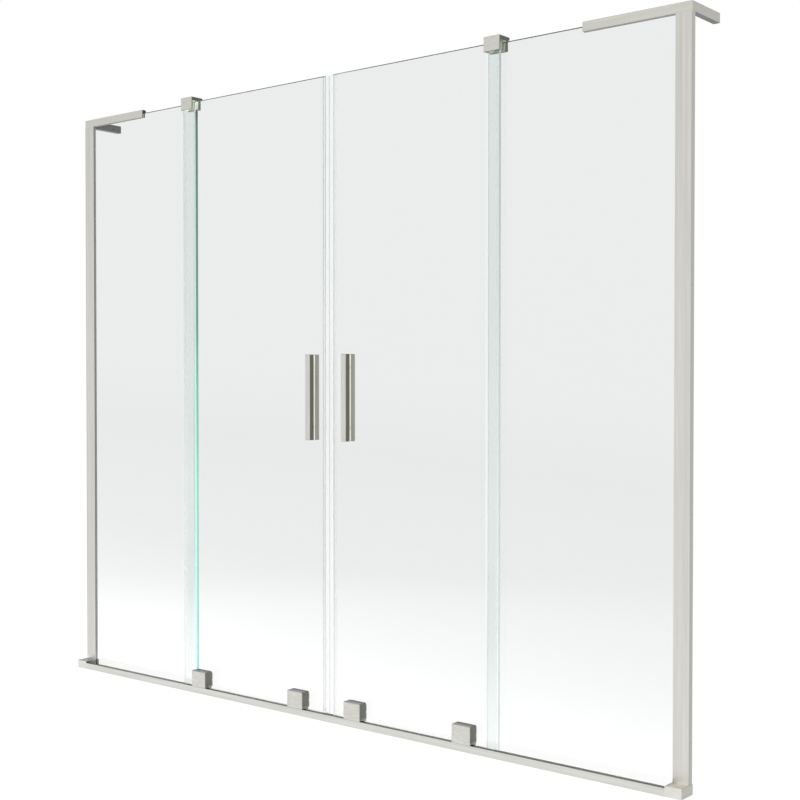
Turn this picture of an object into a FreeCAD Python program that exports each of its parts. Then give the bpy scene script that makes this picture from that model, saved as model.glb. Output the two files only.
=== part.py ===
import FreeCAD, Part
import math
import os

# Bath screen: two fixed panes, two sliding doors that meet in the middle, all sizes in millimetres.
# X runs along the rail, Y from the room towards the bath, Z up.
# The origin is the middle of the rail's underside, which stands on the bath's rim.
# A fixed pane reaches from its wall to the middle of its half, moved by a split offset.
# Every piece is drawn for the right half. The left half is its mirror image, with its own overlap.

# Driving sizes
screen_width = 1800.0
screen_height = 1500.0
glass_thickness = 6.0
meeting_gap = 24.0
overlap_width = 34.0
left_split_offset = -12.0
right_split_offset = 13.0
cut_overrun = 1.0
left_fixed_reach = screen_width / 4 + left_split_offset
right_fixed_reach = screen_width / 4 + right_split_offset
left_overlap_x = screen_width / 2 - left_fixed_reach + overlap_width / 2
right_overlap_x = screen_width / 2 - right_fixed_reach + overlap_width / 2

# Rail: a running bar in front, a flat base and a glazing channel behind it
rail_height = 16.0
rail_depth = 47.0
rail_bar_depth = 11.0
rail_wall = 1.6
rail_base = 2.5
rail_edge_radius = 0.8
track_width = 7.4
track_depth = 1.2
lock_groove_low = 8.0
lock_groove_height = 4.0
lock_groove_depth = 2.5
glazing_channel_wall = 1.5
glazing_channel_height = 6.5
glazing_channel_room = 1.5
rail_front = -rail_depth / 2
rail_bar_back = rail_front + rail_bar_depth
track_floor = rail_height - track_depth

# End caps in the wall corners
cap_width = 35.0
cap_height = 20.5
cap_edge_bevel = 0.6
spigot_length = 12.0
spigot_clearance = 0.2
cap_slot_clearance = 0.4
cap_inner_x = screen_width / 2 - cap_width

# Wall profile: the visible cover, an H section that holds the fixed pane
profile_face = 35.0
profile_depth = 11.0
profile_setback = 32.5
profile_wall = 1.2
profile_lip = 0.5
profile_edge_radius = 0.5
glass_bite = 11.0
profile_front = rail_front + profile_setback
profile_back = profile_front + profile_depth
profile_inner_x = screen_width / 2 - profile_face

# Wall channel: screwed to the wall, slides inside the wall profile
wall_base = 1.6
wall_leg = 0.9
wall_leg_reach = 18.0
slide_clearance = 0.1
wall_hole_radius = 2.0
wall_hole_count = 4
wall_hole_margin = 80.0

# Corner brackets: one arm caps the pane, the other runs back along the wall
bracket_height = 19.5
bracket_roof = 9.0
glass_arm_length = 237.0
glass_arm_depth = 13.0
wall_arm_reach = 117.5
wall_arm_thickness = 14.0
bracket_edge_bevel = 0.6
bracket_pad = 0.5
bracket_slot_play = 0.5
bracket_tongue_length = 20.0
bracket_tongue_width = 12.0
bracket_hole_radius = 2.5
bracket_hole_skin = 1.0
bracket_hole_first = 30.0
bracket_hole_spacing = 50.0
bracket_low = screen_height - bracket_height
glass_top = screen_height - bracket_roof

# Panes
glass_arris = 0.4
fixed_glass_lift = 1.0
door_glass_setback = 24.0
door_glass_bottom = 8.0
fixed_glass_front = profile_front + (profile_depth - glass_thickness) / 2
fixed_glass_back = fixed_glass_front + glass_thickness
fixed_glass_bottom = rail_base + fixed_glass_lift
fixed_glass_outer_x = profile_inner_x + glass_bite
door_glass_front = rail_front + door_glass_setback
door_glass_back = door_glass_front + glass_thickness
door_inner_x = meeting_gap / 2

# Top guide clips: two slots, the front one guides the door, the rear one grips the fixed pane
clip_width = 40.5
clip_reach = 17.0
clip_head_room = 5.0
clip_roof = 9.0
clip_depth = 34.0
clip_setback = 19.5
clip_edge_bevel = 0.8
clip_lip_depth = 3.5
clip_lip_height = 6.0
liner_wall = 1.0
liner_running_gap = 0.4
liner_inset = 0.5
liner_tongue_radius = 8.0
liner_tongue_drop = 5.0
liner_tongue_thickness = 3.0
clip_front_pad = 1.4
clip_rear_pad = 4.4
clip_pad_height = 12.0
clip_pad_inset = 2.0
clip_front = rail_front + clip_setback
clip_bottom = glass_top - clip_reach
clip_slot_top = glass_top + clip_head_room
clip_top = clip_slot_top + clip_roof
liner_front = door_glass_front - liner_running_gap - liner_wall
liner_back = door_glass_back + liner_running_gap + liner_wall
clip_back = clip_front + clip_depth

# Carriages: one housing near each end of a door, over the rail's running bar
carriage_width = 48.5
carriage_top = 56.0
carriage_inset = 53.0
left_carriage_shift = 0.0
right_carriage_shift = 2.6
carriage_gap = 0.6
carriage_edge_bevel = 1.0
carriage_pad = 0.8
carriage_bottom = rail_height + carriage_gap
carriage_back = door_glass_front - carriage_pad

# Rollers on their axles
roller_radius = 9.7
roller_ride_gap = 0.3
roller_width = 5.6
axle_radius = 3.0
axle_clearance = 0.05
axle_front_reach = 0.3
axle_grip = 10.0
roller_play = 1.8
roller_side_play = 0.6
roller_y = rail_front + rail_bar_depth / 2
roller_z = track_floor + roller_ride_gap + roller_radius
roller_bay_front = roller_y - roller_width / 2 - roller_side_play
roller_bay_back = roller_y + roller_width / 2 + roller_side_play

# Guide feet: they hook into the groove behind the running bar, so that a door can't be lifted off
foot_length = 18.0
foot_gap = 0.6
foot_depth = 10.8
foot_bottom = 5.0
foot_corner_bevel = 1.5
foot_nib_play = 0.6
foot_stem_height = 3.8
foot_stem_inset = 2.5
foot_stem_clearance = 0.1
foot_front = rail_bar_back + foot_gap
foot_back = foot_front + foot_depth

# Clamp: pads on both faces of the door glass, a plate behind it and a countersunk screw
clamp_hole_radius = 5.0
clamp_screw_radius = 3.0
clamp_screw_head = 5.4
clamp_screw_sink = 2.2
clamp_screw_grip = 10.0
clamp_screw_z = 42.0
clamp_socket_radius = 1.8
clamp_socket_depth = 1.6
clamp_pad_play = 0.3
clamp_plate_width = 40.0
clamp_plate_height = 20.0
clamp_plate_thickness = 2.8
clamp_plate_corner = 3.0
clamp_plate_back = door_glass_back + carriage_pad + clamp_plate_thickness

# Rail stops
stop_length = 12.0
stop_height = 11.0
stop_gap = 0.5
stop_corner_bevel = 2.0

# Handles: a bar on each face of the door glass, drawn together by two studs
handle_length = 200.0
handle_side = 15.0
handle_x = 55.2
handle_z = 748.0
handle_edge_bevel = 0.7
handle_edge_clearance = 24.3
handle_gasket = 0.4
handle_stud_radius = 3.0
handle_stud_grip = 8.0
handle_stud_spacing = 140.0
handle_hole_radius = 5.0
handle_notch_play = 0.3
door_travel = screen_width / 2 - right_fixed_reach - handle_x - handle_side / 2 - handle_edge_clearance

# Seals on the door's edges
seal_wall = 0.9
seal_flange = 10.0
seal_meeting_gap = 0.5
seal_pocket_play = 0.2
magnet_bridge = 0.9
magnet_play = 0.2
seal_end_inset = 0.5
edge_seal_wall = 0.7
edge_seal_flange = 7.0
edge_seal_clip_gap = 6.0
edge_fin_wall = 0.7
edge_fin_reach = 5.0
edge_fin_gap = 0.4
wiper_wall = 0.8
wiper_flange = 5.0
wiper_floor_gap = 0.6
wiper_fin_wall = 1.0
seal_bottom = door_glass_bottom + wiper_flange + cut_overrun

X_AXIS = FreeCAD.Vector(1, 0, 0)
Y_AXIS = FreeCAD.Vector(0, 1, 0)
Z_AXIS = FreeCAD.Vector(0, 0, 1)
ORIGIN = FreeCAD.Vector(0, 0, 0)
KEY_SIDES = 6
parallel_share = 0.999
same_place = 1e-5


def block(x0, x1, y0, y1, z0, z1):
    """A rectangular bar between two corners."""
    return Part.makeBox(x1 - x0, y1 - y0, z1 - z0, FreeCAD.Vector(x0, y0, z0))


def rod_along_x(radius, x0, x1, y, z):
    return Part.makeCylinder(radius, x1 - x0, FreeCAD.Vector(x0, y, z), X_AXIS)


def rod_along_y(radius, x, y0, y1, z):
    return Part.makeCylinder(radius, y1 - y0, FreeCAD.Vector(x, y0, z), Y_AXIS)


def sink_along_y(narrow, wide, x, y0, y1, z):
    """A countersink that widens towards the back."""
    return Part.makeCone(narrow, wide, y1 - y0, FreeCAD.Vector(x, y0, z), Y_AXIS)


def key_socket_along_y(radius, x, y0, y1, z):
    """The six-sided socket for a key."""
    turns = [math.tau * index / KEY_SIDES for index in range(KEY_SIDES)]
    outline = [FreeCAD.Vector(x + radius * math.cos(turn), y0, z + radius * math.sin(turn)) for turn in turns]
    return extrusion(outline, Y_AXIS * (y1 - y0))


def extrusion(outline, path):
    """A closed outline of points, drawn out along a straight path."""
    face = Part.Face(Part.makePolygon(outline + outline[:1]))
    return face.extrude(path)


def fuse(*solids):
    whole = solids[0]
    for solid in solids[1:]:
        whole = whole.fuse(solid)
    return whole.removeSplitter()


def runs_along(edge, axis):
    """Whether an edge is straight and parallel to an axis."""
    if edge.Curve.TypeId != "Part::GeomLine":
        return False
    run = edge.Vertexes[-1].Point - edge.Vertexes[0].Point
    return abs(run.normalize().dot(axis)) > parallel_share


def round_edges(solid, radius, wanted):
    """Fillet the edges for which wanted(edge) is true."""
    return solid.makeFillet(radius, [edge for edge in solid.Edges if wanted(edge)])


def bevel_edges(solid, size, wanted):
    return solid.makeChamfer(size, [edge for edge in solid.Edges if wanted(edge)])


def at(value, target):
    """Whether two places are the same."""
    return abs(value - target) < same_place


def spread(low, high, count):
    """Evenly spaced places from low to high."""
    step = (high - low) / (count - 1)
    return [low + step * index for index in range(count)]


def bottom_rail():
    """The extruded rail, with its track, lock groove, hollow chamber and glazing channel."""
    channel_low = fixed_glass_front - glazing_channel_room - glazing_channel_wall
    channel_high = fixed_glass_back + glazing_channel_room + glazing_channel_wall
    track_front = roller_y - track_width / 2
    track_back = roller_y + track_width / 2
    groove_top = lock_groove_low + lock_groove_height
    groove_y = rail_bar_back - lock_groove_depth
    section = [
        (rail_front, 0),
        (rail_front + rail_depth, 0),
        (rail_front + rail_depth, rail_base),
        (channel_high, rail_base),
        (channel_high, glazing_channel_height),
        (channel_high - glazing_channel_wall, glazing_channel_height),
        (channel_high - glazing_channel_wall, rail_base),
        (channel_low + glazing_channel_wall, rail_base),
        (channel_low + glazing_channel_wall, glazing_channel_height),
        (channel_low, glazing_channel_height),
        (channel_low, rail_base),
        (rail_bar_back, rail_base),
        (rail_bar_back, lock_groove_low),
        (groove_y, lock_groove_low),
        (groove_y, groove_top),
        (rail_bar_back, groove_top),
        (rail_bar_back, rail_height),
        (track_back, rail_height),
        (track_back, track_floor),
        (track_front, track_floor),
        (track_front, rail_height),
        (rail_front, rail_height),
    ]
    outline = [FreeCAD.Vector(-cap_inner_x, y, z) for y, z in section]
    rail = extrusion(outline, X_AXIS * (cap_inner_x + cap_inner_x))
    rail = round_edges(rail, rail_edge_radius,
                       lambda edge: runs_along(edge, X_AXIS) and at(edge.Vertexes[0].Y, rail_front))
    chamber = block(-cap_inner_x - cut_overrun, cap_inner_x + cut_overrun, *rail_chamber())
    return rail.cut(chamber)


def rail_chamber():
    """Low and high Y and Z of the hollow inside the running bar."""
    back = rail_bar_back - lock_groove_depth - rail_wall
    return rail_front + rail_wall, back, rail_wall, track_floor - rail_wall


def rail_end_cap():
    """A block in the wall corner: plugs the rail, and the wall profile stands on it."""
    outer_x = screen_width / 2
    cap = block(cap_inner_x, outer_x, rail_front, rail_front + rail_depth, 0, cap_height)
    cap = bevel_edges(cap, cap_edge_bevel,
                      lambda edge: not at(edge.BoundBox.ZMax, 0) and not at(edge.BoundBox.XMax, cap_inner_x))
    slot_front = fixed_glass_front - cap_slot_clearance
    slot_back = fixed_glass_back + cap_slot_clearance
    slot_end = fixed_glass_outer_x + cap_slot_clearance
    cap = cap.cut(block(cap_inner_x - cut_overrun, slot_end, slot_front, slot_back,
                        rail_base, cap_height + cut_overrun))
    y0, y1, z0, z1 = rail_chamber()
    spigot = block(cap_inner_x - spigot_length, cap_inner_x + cut_overrun,
                   y0 + spigot_clearance, y1 - spigot_clearance,
                   z0 + spigot_clearance, z1 - spigot_clearance)
    return fuse(cap, spigot)


def wall_channel():
    """The channel on the wall: a base as deep as the profile and two legs inside it."""
    outer_x = screen_width / 2
    leg_x = outer_x - wall_leg_reach
    front_leg = profile_front + profile_wall + slide_clearance
    back_leg = profile_back - profile_wall - slide_clearance
    section = [
        (outer_x, profile_front),
        (outer_x, profile_back),
        (outer_x - wall_base, profile_back),
        (outer_x - wall_base, back_leg),
        (leg_x, back_leg),
        (leg_x, back_leg - wall_leg),
        (outer_x - wall_base, back_leg - wall_leg),
        (outer_x - wall_base, front_leg + wall_leg),
        (leg_x, front_leg + wall_leg),
        (leg_x, front_leg),
        (outer_x - wall_base, front_leg),
        (outer_x - wall_base, profile_front),
    ]
    outline = [FreeCAD.Vector(x, y, cap_height) for x, y in section]
    channel = extrusion(outline, Z_AXIS * (bracket_low - cap_height))
    middle_y = profile_front + profile_depth / 2
    for z in spread(cap_height + wall_hole_margin, bracket_low - wall_hole_margin, wall_hole_count):
        channel = channel.cut(rod_along_x(wall_hole_radius, outer_x - wall_base - cut_overrun,
                                          outer_x + cut_overrun, middle_y, z))
    return channel


def wall_profile():
    """The visible cover profile, an H section with retaining lips at the glass."""
    outer_x = screen_width / 2 - wall_base
    web_x = fixed_glass_outer_x + slide_clearance
    lip_x = profile_inner_x + profile_wall
    front_in = profile_front + profile_wall
    back_in = profile_back - profile_wall
    section = [
        (profile_inner_x, profile_front),
        (outer_x, profile_front),
        (outer_x, front_in),
        (web_x + profile_wall, front_in),
        (web_x + profile_wall, back_in),
        (outer_x, back_in),
        (outer_x, profile_back),
        (profile_inner_x, profile_back),
        (profile_inner_x, back_in - profile_lip),
        (lip_x, back_in - profile_lip),
        (lip_x, back_in),
        (web_x, back_in),
        (web_x, front_in),
        (lip_x, front_in),
        (lip_x, front_in + profile_lip),
        (profile_inner_x, front_in + profile_lip),
    ]
    outline = [FreeCAD.Vector(x, y, cap_height) for x, y in section]
    profile = extrusion(outline, Z_AXIS * (bracket_low - cap_height))

    def outer_corner(edge):
        corner = edge.Vertexes[0]
        outside = at(corner.Y, profile_front) or at(corner.Y, profile_back)
        return runs_along(edge, Z_AXIS) and outside and at(corner.X, profile_inner_x)

    return round_edges(profile, profile_edge_radius, outer_corner)


def glazing_gaskets():
    """Two strips that wedge the fixed pane in its profile."""
    x0 = profile_inner_x + profile_wall + slide_clearance
    x1 = fixed_glass_outer_x
    top = bracket_low
    front = block(x0, x1, profile_front + profile_wall, fixed_glass_front, cap_height, top)
    back = block(x0, x1, fixed_glass_back, profile_back - profile_wall, cap_height, top)
    return [front, back]


def fixed_glass(overlap_x):
    inner_x = overlap_x - overlap_width / 2
    pane = block(inner_x, fixed_glass_outer_x, fixed_glass_front, fixed_glass_back,
                 fixed_glass_bottom, glass_top)
    return bevel_edges(pane, glass_arris, lambda edge: not runs_along(edge, Y_AXIS))


def bottom_gasket(overlap_x):
    """A U strip between the fixed pane and the rail's glazing channel."""
    x0 = overlap_x - overlap_width / 2
    y0 = fixed_glass_front - glazing_channel_room
    y1 = fixed_glass_back + glazing_channel_room
    strip = block(x0, cap_inner_x, y0, y1, rail_base, glazing_channel_height)
    bed = block(x0 - cut_overrun, cap_inner_x + cut_overrun, fixed_glass_front, fixed_glass_back,
                fixed_glass_bottom, glazing_channel_height + cut_overrun)
    return strip.cut(bed)


def bracket_slot():
    """Low and high Y of the slot for the pane and its pads."""
    return fixed_glass_front - bracket_pad, fixed_glass_back + bracket_pad


def corner_bracket():
    """Two arms milled from one bar: a capping arm with a slot, and a wall arm with blind pilot holes."""
    outer_x = screen_width / 2
    arm_x = outer_x - glass_arm_length
    arm_back = profile_front + glass_arm_depth
    wall_x = outer_x - wall_arm_thickness
    wall_end = profile_front + wall_arm_reach
    section = [
        (arm_x, profile_front),
        (outer_x, profile_front),
        (outer_x, wall_end),
        (wall_x, wall_end),
        (wall_x, arm_back),
        (arm_x, arm_back),
    ]
    outline = [FreeCAD.Vector(x, y, bracket_low) for x, y in section]
    bracket = extrusion(outline, Z_AXIS * bracket_height)

    def outer_edge(edge):
        box = edge.BoundBox
        on_seat = at(box.ZMax, bracket_low)
        inside_corner = at(box.XMin, wall_x) and at(box.YMin, arm_back) and runs_along(edge, Z_AXIS)
        return not on_seat and not inside_corner

    bracket = bevel_edges(bracket, bracket_edge_bevel, outer_edge)
    y0, y1 = bracket_slot()
    slot = block(arm_x - cut_overrun, fixed_glass_outer_x + cut_overrun, y0, y1,
                 bracket_low - cut_overrun, glass_top + bracket_slot_play)
    bracket = bracket.cut(slot)
    hole_z = bracket_low + bracket_height / 2
    for index in range(2):
        y = profile_back + bracket_hole_first + bracket_hole_spacing * index
        bracket = bracket.cut(rod_along_x(bracket_hole_radius, wall_x - cut_overrun,
                                          outer_x - bracket_hole_skin, y, hole_z))
    leg_y = profile_wall + slide_clearance + wall_leg + slide_clearance
    tongue_x = outer_x - wall_base - slide_clearance
    tongue = block(tongue_x - bracket_tongue_width, tongue_x, profile_front + leg_y, profile_back - leg_y,
                   bracket_low - bracket_tongue_length, bracket_low)
    return fuse(bracket, tongue)


def bracket_pads():
    """Nylon strips on both faces of the pane, inside the capping arm."""
    x0 = screen_width / 2 - glass_arm_length + bracket_edge_bevel
    y0, y1 = bracket_slot()
    front = block(x0, profile_inner_x, y0, fixed_glass_front, bracket_low, glass_top)
    back = block(x0, profile_inner_x, fixed_glass_back, y1, bracket_low, glass_top)
    return [front, back]


def clip_rear_slot():
    """Low and high Y of the slot that grips the fixed pane."""
    return fixed_glass_front - clip_front_pad, fixed_glass_back + clip_rear_pad


def top_guide_clip(overlap_x):
    """An upturned block with two slots and a lip at the top of its back."""
    x0 = overlap_x - clip_width / 2
    x1 = overlap_x + clip_width / 2
    lip_low = clip_top - clip_lip_height
    section = [
        (clip_front, clip_bottom),
        (clip_back, clip_bottom),
        (clip_back, lip_low),
        (clip_back + clip_lip_depth, lip_low),
        (clip_back + clip_lip_depth, clip_top),
        (clip_front, clip_top),
    ]
    outline = [FreeCAD.Vector(x0, y, z) for y, z in section]
    clip = extrusion(outline, X_AXIS * clip_width)
    clip = bevel_edges(clip, clip_edge_bevel,
                       lambda edge: at(edge.BoundBox.YMax, clip_front) or at(edge.BoundBox.ZMin, clip_top))
    front_slot = block(x0 - cut_overrun, x1 + cut_overrun, liner_front, liner_back,
                       clip_bottom - cut_overrun, clip_slot_top)
    y0, y1 = clip_rear_slot()
    rear_slot = block(x0 - cut_overrun, x1 + cut_overrun, y0, y1, clip_bottom - cut_overrun, clip_slot_top)
    return clip.cut(front_slot).cut(rear_slot)


def clip_guide_liner(overlap_x):
    """A U shaped nylon liner for the door's slot, with a round tongue below its front wall."""
    x0 = overlap_x - clip_width / 2 + liner_inset
    x1 = overlap_x + clip_width / 2 - liner_inset
    shell = block(x0, x1, liner_front, liner_back, clip_bottom, clip_slot_top)
    way = block(x0 - cut_overrun, x1 + cut_overrun, liner_front + liner_wall, liner_back - liner_wall,
                clip_bottom - cut_overrun, clip_slot_top - liner_wall)
    tongue_back = liner_front + liner_wall
    tongue_front = tongue_back - liner_tongue_thickness
    tongue_z = clip_bottom - liner_tongue_drop + liner_tongue_radius
    disc = rod_along_y(liner_tongue_radius, overlap_x, tongue_front, tongue_back, tongue_z)
    below = block(x0, x1, tongue_front, tongue_back, clip_bottom - liner_tongue_drop, clip_bottom)
    return fuse(shell.cut(way), disc.common(below))


def clip_clamp_pads(overlap_x):
    """A front pad and a rear pressure plate on the fixed pane."""
    x0 = overlap_x - clip_width / 2 + clip_pad_inset
    x1 = overlap_x + clip_width / 2 - clip_pad_inset
    edge_x = overlap_x - overlap_width / 2
    y0, y1 = clip_rear_slot()
    start = max(x0, edge_x)
    front = block(start, x1, y0, fixed_glass_front, clip_bottom, clip_bottom + clip_pad_height)
    back = block(start, x1, fixed_glass_back, y1, clip_bottom, clip_bottom + clip_pad_height)
    return [front, back]


def door_outer_x(overlap_x):
    return overlap_x + overlap_width / 2


def carriage_places(overlap_x, shift):
    """X of the outer and the inner carriage, moved by a shift towards the meeting edge."""
    half = carriage_inset + carriage_width / 2
    return door_outer_x(overlap_x) - half - shift, door_inner_x + half - shift


def handle_stud_places():
    return [(handle_x, handle_z - handle_stud_spacing / 2), (handle_x, handle_z + handle_stud_spacing / 2)]


def door_glass(overlap_x, shift):
    """The sliding pane with the holes for its clamps and its handle."""
    pane = block(door_inner_x, door_outer_x(overlap_x), door_glass_front, door_glass_back,
                 door_glass_bottom, glass_top)
    pane = bevel_edges(pane, glass_arris, lambda edge: not runs_along(edge, Y_AXIS))
    for x in carriage_places(overlap_x, shift):
        pane = pane.cut(rod_along_y(clamp_hole_radius, x, door_glass_front - cut_overrun,
                                    door_glass_back + cut_overrun, clamp_screw_z))
    for x, z in handle_stud_places():
        pane = pane.cut(rod_along_y(handle_hole_radius, x, door_glass_front - cut_overrun,
                                    door_glass_back + cut_overrun, z))
    return pane


def carriage(x):
    """A moulded housing: an arched roller bay, the axle's seat, the foot's pocket and the screw hole."""
    body = block(x - carriage_width / 2, x + carriage_width / 2, rail_front, carriage_back,
                 carriage_bottom, carriage_top)
    body = bevel_edges(body, carriage_edge_bevel,
                       lambda edge: not at(edge.BoundBox.ZMax, carriage_bottom)
                       and not at(edge.BoundBox.YMin, carriage_back))
    bay_radius = roller_radius + roller_play
    low = carriage_bottom - cut_overrun
    bay = fuse(rod_along_y(bay_radius, x, roller_bay_front, roller_bay_back, roller_z),
               block(x - bay_radius, x + bay_radius, roller_bay_front, roller_bay_back, low, roller_z))
    body = body.cut(bay)
    body = body.cut(rod_along_y(axle_radius, x, roller_bay_back - cut_overrun,
                                roller_bay_back + axle_grip, roller_z))
    pocket = foot_length / 2 - foot_stem_inset
    body = body.cut(block(x - pocket, x + pocket, foot_front + foot_stem_inset, foot_back - foot_stem_inset,
                          low, carriage_bottom + foot_stem_height))
    return body.cut(rod_along_y(clamp_screw_radius, x, carriage_back - clamp_screw_grip,
                                carriage_back + cut_overrun, clamp_screw_z))


def guide_foot(x):
    """A nylon foot behind the running bar, with a nib in the bar's groove and a stem in the housing."""
    half = foot_length / 2
    body = block(x - half, x + half, foot_front, foot_back, foot_bottom, carriage_bottom)
    body = bevel_edges(body, foot_corner_bevel,
                       lambda edge: runs_along(edge, Z_AXIS) and at(edge.BoundBox.YMin, foot_back))
    nib_front = rail_bar_back - lock_groove_depth + foot_nib_play
    nib_low = lock_groove_low + foot_nib_play
    nib_high = lock_groove_low + lock_groove_height - foot_nib_play
    nib = block(x - half, x + half, nib_front, foot_front + cut_overrun, nib_low, nib_high)
    stem = half - foot_stem_inset - foot_stem_clearance
    inset = foot_stem_inset + foot_stem_clearance
    post = block(x - stem, x + stem, foot_front + inset, foot_back - inset, carriage_bottom,
                 carriage_bottom + foot_stem_height - foot_stem_clearance)
    return fuse(body, nib, post)


def axle(x):
    """A plain pin, pressed into the wall behind the bay. The bay's walls keep the roller on it."""
    front = roller_y - roller_width / 2 - axle_front_reach
    return rod_along_y(axle_radius, x, front, roller_bay_back + axle_grip, roller_z)


def roller(x):
    """A nylon roller, which runs on its pin."""
    front = roller_y - roller_width / 2
    back = roller_y + roller_width / 2
    bore = axle_radius + axle_clearance
    wheel = rod_along_y(roller_radius, x, front, back, roller_z)
    return wheel.cut(rod_along_y(bore, x, front - cut_overrun, back + cut_overrun, roller_z))


def clamp_pads(x):
    """Rubber pads on both faces of the door glass, with slots that slip over the screw from above."""
    x0 = x - clamp_plate_width / 2
    x1 = x + clamp_plate_width / 2
    z0 = clamp_screw_z - clamp_plate_height / 2
    z1 = clamp_screw_z + clamp_plate_height / 2
    slot = clamp_screw_radius + clamp_pad_play
    way = block(x - slot, x + slot, carriage_back - cut_overrun, clamp_plate_back,
                z0 - cut_overrun, clamp_screw_z + slot)
    front = block(x0, x1, carriage_back, door_glass_front, z0, z1)
    back = block(x0, x1, door_glass_back, door_glass_back + carriage_pad, z0, z1)
    return [front.cut(way), back.cut(way)]


def clamp_plate(x):
    """A plate behind the door glass with trimmed corners and a countersunk hole."""
    plate = block(x - clamp_plate_width / 2, x + clamp_plate_width / 2,
                  door_glass_back + carriage_pad, clamp_plate_back,
                  clamp_screw_z - clamp_plate_height / 2, clamp_screw_z + clamp_plate_height / 2)
    plate = bevel_edges(plate, clamp_plate_corner, lambda edge: runs_along(edge, Y_AXIS))
    plate = plate.cut(rod_along_y(clamp_screw_radius, x, door_glass_back, clamp_plate_back, clamp_screw_z))
    return plate.cut(sink_along_y(clamp_screw_radius, clamp_screw_head, x,
                                  clamp_plate_back - clamp_screw_sink, clamp_plate_back, clamp_screw_z))


def clamp_screw(x):
    """A countersunk socket screw from the plate through the glass into the housing."""
    shank = rod_along_y(clamp_screw_radius, x, carriage_back - clamp_screw_grip,
                        clamp_plate_back - clamp_screw_sink, clamp_screw_z)
    head = sink_along_y(clamp_screw_radius, clamp_screw_head, x,
                        clamp_plate_back - clamp_screw_sink, clamp_plate_back, clamp_screw_z)
    socket = key_socket_along_y(clamp_socket_radius, x, clamp_plate_back - clamp_socket_depth,
                                clamp_plate_back + cut_overrun, clamp_screw_z)
    return fuse(shank, head).cut(socket)


def rail_stop(overlap_x, shift):
    """A stop behind the running bar, where the outer guide foot arrives at the end of its travel."""
    carriage_x = carriage_places(overlap_x, shift)[0]
    x0 = carriage_x + foot_length / 2 + door_travel + stop_gap
    stop = block(x0, x0 + stop_length, rail_bar_back, foot_back, rail_base, rail_base + stop_height)
    return bevel_edges(stop, stop_corner_bevel,
                       lambda edge: runs_along(edge, Z_AXIS) and at(edge.BoundBox.YMin, foot_back))


def handle_bar(y0, y1, open_face):
    """A square bar with eased edges and two blind holes in the face towards the glass."""
    bar = block(handle_x - handle_side / 2, handle_x + handle_side / 2, y0, y1,
                handle_z - handle_length / 2, handle_z + handle_length / 2)
    bar = bevel_edges(bar, handle_edge_bevel, lambda edge: True)
    for x, z in handle_stud_places():
        bar = bar.cut(rod_along_y(handle_stud_radius, x, open_face - handle_stud_grip,
                                  open_face + handle_stud_grip, z))
    return bar


def handle_front_bar():
    face = door_glass_front - handle_gasket
    return handle_bar(door_glass_front - handle_side, face, face)


def handle_rear_bar():
    face = door_glass_back + handle_gasket
    return handle_bar(face, door_glass_back + handle_side, face)


def handle_gaskets():
    """Thin gaskets under both bars, with notches that slip over the studs from the side."""
    x0 = handle_x - handle_side / 2 + handle_edge_bevel
    x1 = handle_x + handle_side / 2 - handle_edge_bevel
    z0 = handle_z - handle_length / 2 + handle_edge_bevel
    z1 = handle_z + handle_length / 2 - handle_edge_bevel
    front = block(x0, x1, door_glass_front - handle_gasket, door_glass_front, z0, z1)
    back = block(x0, x1, door_glass_back, door_glass_back + handle_gasket, z0, z1)
    notch = handle_stud_radius + handle_notch_play
    for x, z in handle_stud_places():
        way = block(x - notch, x1 + cut_overrun, door_glass_front - handle_stud_grip,
                    door_glass_back + handle_stud_grip, z - notch, z + notch)
        front = front.cut(way)
        back = back.cut(way)
    return [front, back]


def handle_studs():
    return [rod_along_y(handle_stud_radius, x, door_glass_front - handle_gasket - handle_stud_grip,
                        door_glass_back + handle_gasket + handle_stud_grip, z)
            for x, z in handle_stud_places()]


def magnet_pocket():
    """Low and high X and Y of the magnet's pocket in the meeting seal."""
    return (seal_meeting_gap + seal_wall, door_inner_x - magnet_bridge,
            door_glass_front + seal_pocket_play, door_glass_back - seal_pocket_play)


def magnetic_seal():
    """A clear profile on the door's meeting edge, with a pocket for its magnet."""
    z0 = seal_bottom
    z1 = glass_top - seal_end_inset
    body = block(seal_meeting_gap, door_inner_x + seal_flange, door_glass_front - seal_wall,
                 door_glass_back + seal_wall, z0, z1)
    grip = block(door_inner_x, door_inner_x + seal_flange + cut_overrun, door_glass_front, door_glass_back,
                 z0 - cut_overrun, z1 + cut_overrun)
    x0, x1, y0, y1 = magnet_pocket()
    pocket = block(x0, x1, y0, y1, z0 - cut_overrun, z1 + cut_overrun)
    body = body.cut(grip).cut(pocket)
    return round_edges(body, seal_wall / 2,
                       lambda edge: runs_along(edge, Z_AXIS) and at(edge.BoundBox.XMax, seal_meeting_gap))


def seal_magnet():
    x0, x1, y0, y1 = magnet_pocket()
    return block(x0 + magnet_play, x1 - magnet_play, y0 + magnet_play, y1 - magnet_play,
                 seal_bottom, glass_top - seal_end_inset)


def edge_seal(overlap_x):
    """A clear U on the door's outer edge, with a fin that brushes the fixed pane."""
    edge_x = door_outer_x(overlap_x)
    front = door_glass_front - edge_seal_wall
    back = door_glass_back + edge_seal_wall
    fin_tip = fixed_glass_front - edge_fin_gap
    fin_x = edge_x - edge_fin_reach
    root_x = edge_x + edge_seal_wall
    section = [
        (edge_x - edge_seal_flange, front),
        (root_x, front),
        (root_x, back),
        (fin_x, fin_tip),
        (fin_x - edge_fin_wall, fin_tip),
        (edge_x - edge_fin_wall, back),
        (edge_x - edge_seal_flange, back),
        (edge_x - edge_seal_flange, door_glass_back),
        (edge_x, door_glass_back),
        (edge_x, door_glass_front),
        (edge_x - edge_seal_flange, door_glass_front),
    ]
    outline = [FreeCAD.Vector(x, y, seal_bottom) for x, y in section]
    top = clip_bottom - edge_seal_clip_gap
    return extrusion(outline, Z_AXIS * (top - seal_bottom))


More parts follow.
